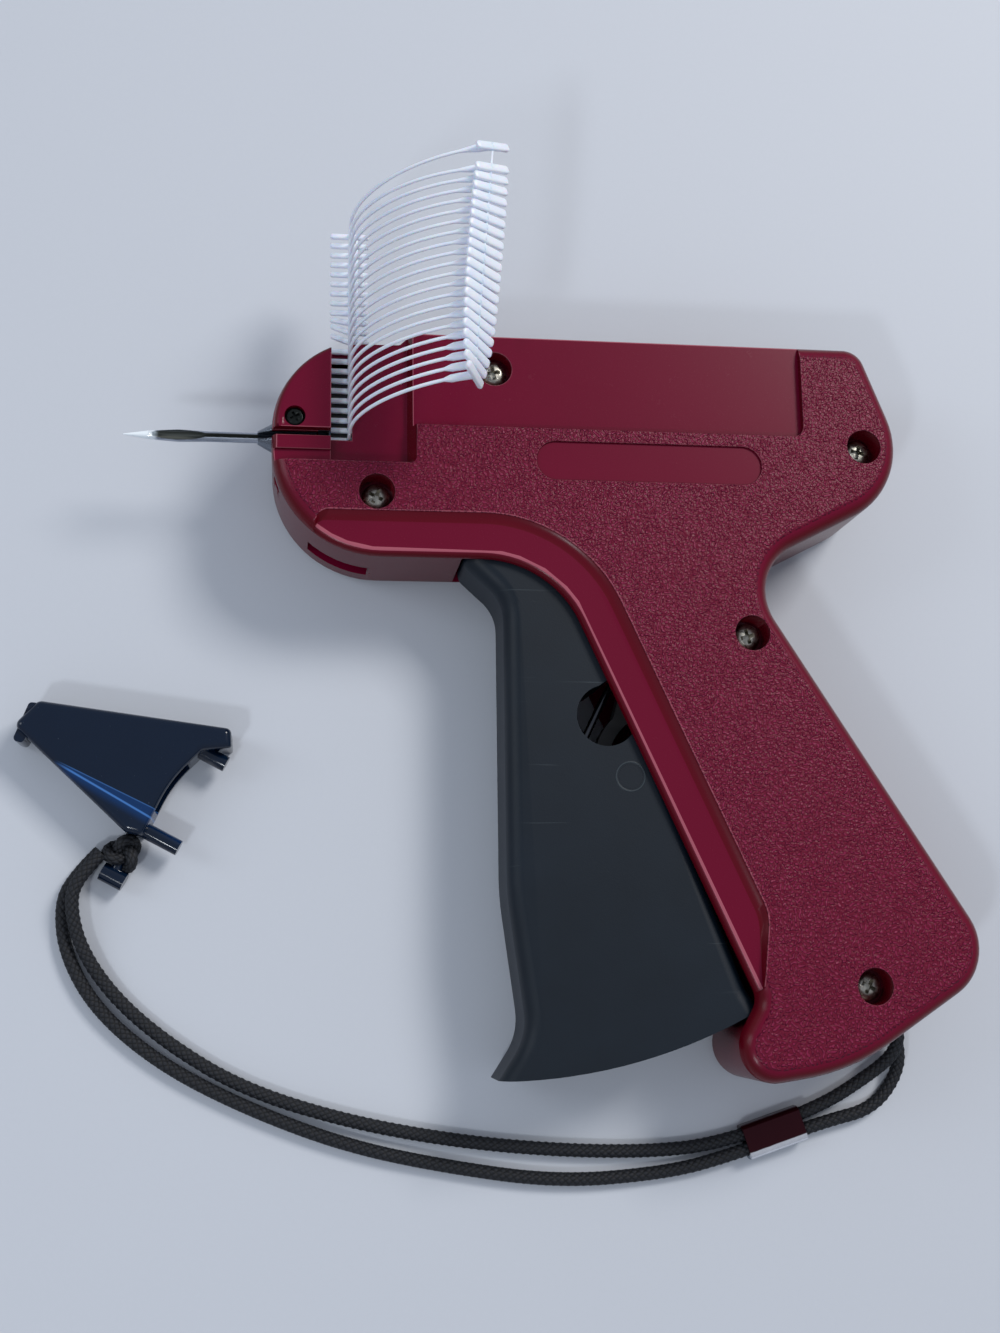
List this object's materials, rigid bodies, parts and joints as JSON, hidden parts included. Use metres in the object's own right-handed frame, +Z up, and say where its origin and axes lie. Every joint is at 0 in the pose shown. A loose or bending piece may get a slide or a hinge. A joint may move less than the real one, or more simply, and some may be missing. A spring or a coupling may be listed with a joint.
{
  "type": "garment tag attacher",
  "caption": "Pistol-shaped tagging gun with a slotted needle, squeeze trigger, nylon fastener clip and a needle cap on a cord lanyard.",
  "frame": {"origin": "on the flat rest face of the far shell, under the drive lever pivot axis", "axes": "+X towards the rear of the barrel (the needle points to -X), +Y towards the barrel top away from the grip, +Z up out of the near face, through the thickness"},
  "size_m": [0.1914, 0.2023, 0.0535],
  "materials": {
    "shell": "moulded burgundy plastic, grained on the raised faces",
    "trigger": "dark slate moulded plastic",
    "cap": "glossy dark navy plastic",
    "steel": "polished steel",
    "zinc": "zinc plated steel",
    "black_metal": "blackened steel",
    "chrome": "bright chrome",
    "nylon": "translucent white nylon",
    "inner_plastic": "black moulded plastic",
    "cord": "braided black cord"
  },
  "bodies": {
    "housing": {"near_shell": "shell", "far_shell": "shell", "nose_plate": "shell", "nose_screw": "black_metal", "housing_screws": "zinc", "needle": "steel", "needle_hub": "steel", "cutter_blade": "steel", "feed_guide": "inner_plastic", "feed_axle": "steel", "pawl_spring": "steel", "trigger_pivot_pin": "steel", "lever_pivot_pin": "steel", "return_spring": "steel", "needle_cap": "cap", "lanyard_post": "inner_plastic", "lanyard_inner": "cord", "lanyard_outer": "cord", "ferrule": "chrome", "lanyard_knot": "cord"},
    "trigger_body": {"trigger": "trigger", "drive_pin": "trigger"},
    "lever_body": {"drive_lever": "inner_plastic"},
    "ram_body": {"ram_carriage": "inner_plastic", "link_pin": "steel", "push_rod": "steel"},
    "clip_body": {"fastener_clip": "nylon", "loaded_fastener": "nylon"},
    "wheel_body": {"feed_wheel": "inner_plastic"}
  },
  "joints": [
    {"name": "trigger_pivot", "type": "hinge", "parent": "housing", "child": "trigger_body", "pos_m": [-0.0333, 0.0247, 0], "axis": [0, 0, 1], "range_deg": [0, 20], "stiffness_Nm_per_rad": 0.4, "springref_deg": -17.19, "deforming": ["return_spring", "loaded_fastener"]},
    {"name": "lever_pivot", "type": "hinge", "parent": "housing", "child": "lever_body", "pos_m": [0, 0, 0], "axis": [0, 0, 1], "range_deg": [0, 49]},
    {"name": "ram_slide", "type": "slide", "parent": "housing", "child": "ram_body", "axis": [-1, 0, 0], "range_m": [0, 0.04161]},
    {"name": "clip_feed", "type": "slide", "parent": "housing", "child": "clip_body", "axis": [0, 1, 0], "range_m": [0, 0.0205]},
    {"name": "wheel_spin", "type": "hinge", "parent": "housing", "child": "wheel_body", "pos_m": [-0.05518, 0.05307, 0], "axis": [0, 0, 1], "range_deg": [-256, 0]}
  ],
  "couplings": [
    {"joint": "lever_pivot", "follows": "trigger_pivot", "ratio": 2.45},
    {"joint": "ram_slide", "follows": "trigger_pivot", "m_per_rad": 0.1192},
    {"joint": "wheel_spin", "follows": "clip_feed", "rad_per_m": -211.7}
  ]
}
